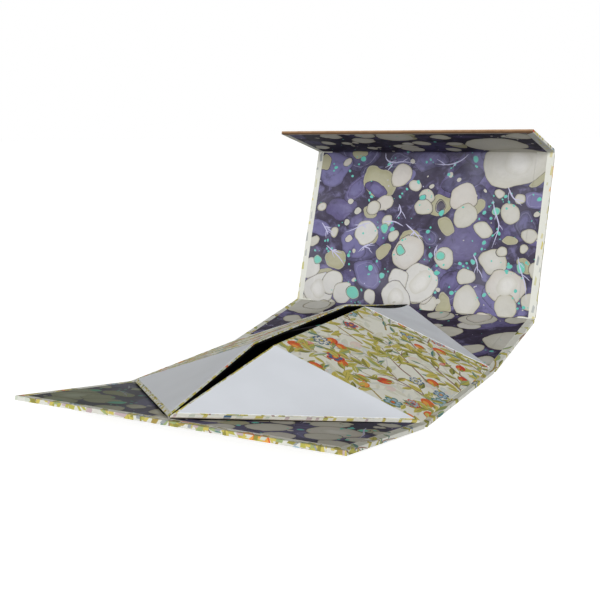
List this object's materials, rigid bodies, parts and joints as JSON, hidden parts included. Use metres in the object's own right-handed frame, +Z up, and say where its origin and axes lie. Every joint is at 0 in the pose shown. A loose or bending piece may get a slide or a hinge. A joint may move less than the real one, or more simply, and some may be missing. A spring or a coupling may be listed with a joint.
{
  "type": "fold-flat magnetic gift box",
  "caption": "Fold-flat gift box of paper-covered boards, half collapsed: side walls lean in over the base, triangular gussets spread over front and back, lid and closing flap raised.",
  "frame": {"origin": "centre of the base's underside, on the surface that the box stands on", "axes": "+Z up, +X along the folds towards the right side wall, +Y from the front board to the back board and lid"},
  "size_m": [0.2004, 0.3674, 0.1558],
  "materials": {
    "greyboard": "matte",
    "printed_cover": "satin",
    "marbled_lining": "satin",
    "plain_facing": "matte",
    "black_liner": "matte",
    "magnet_metal": "satin"
  },
  "bodies": {
    "case": {"front_board": "greyboard", "base_board": "greyboard", "back_board": "greyboard", "side_wall_board_left": "greyboard", "side_wall_board_right": "greyboard", "gusset_board_front_left": "greyboard", "gusset_board_front_right": "greyboard", "gusset_board_back_left": "greyboard", "gusset_board_back_right": "greyboard", "case_cover": "printed_cover", "collar_cover_left": "printed_cover", "collar_cover_right": "printed_cover", "case_lining": "marbled_lining", "gusset_facing_front_left": "plain_facing", "gusset_facing_front_right": "plain_facing", "gusset_facing_back_left": "plain_facing", "gusset_facing_back_right": "plain_facing", "tray_liner": "black_liner", "collar_lining_left": "black_liner", "collar_lining_right": "black_liner", "front_magnet_left": "magnet_metal", "front_magnet_right": "magnet_metal"},
    "lid": {"lid_board": "greyboard", "lid_cover": "printed_cover", "lid_lining": "marbled_lining"},
    "flap": {"flap_board": "greyboard", "flap_cover": "printed_cover", "flap_lining": "marbled_lining", "flap_magnet_left": "magnet_metal", "flap_magnet_right": "magnet_metal"}
  },
  "joints": [
    {"name": "lid_hinge", "type": "hinge", "parent": "case", "child": "lid", "pos_m": [0, 0.16113, 0.01719], "axis": [1, 0, 0], "range_deg": [-76, 68]},
    {"name": "flap_hinge", "type": "hinge", "parent": "lid", "child": "flap", "pos_m": [0, 0.20363, 0.13721], "axis": [1, 0, 0], "range_deg": [-91, 80]}
  ]
}
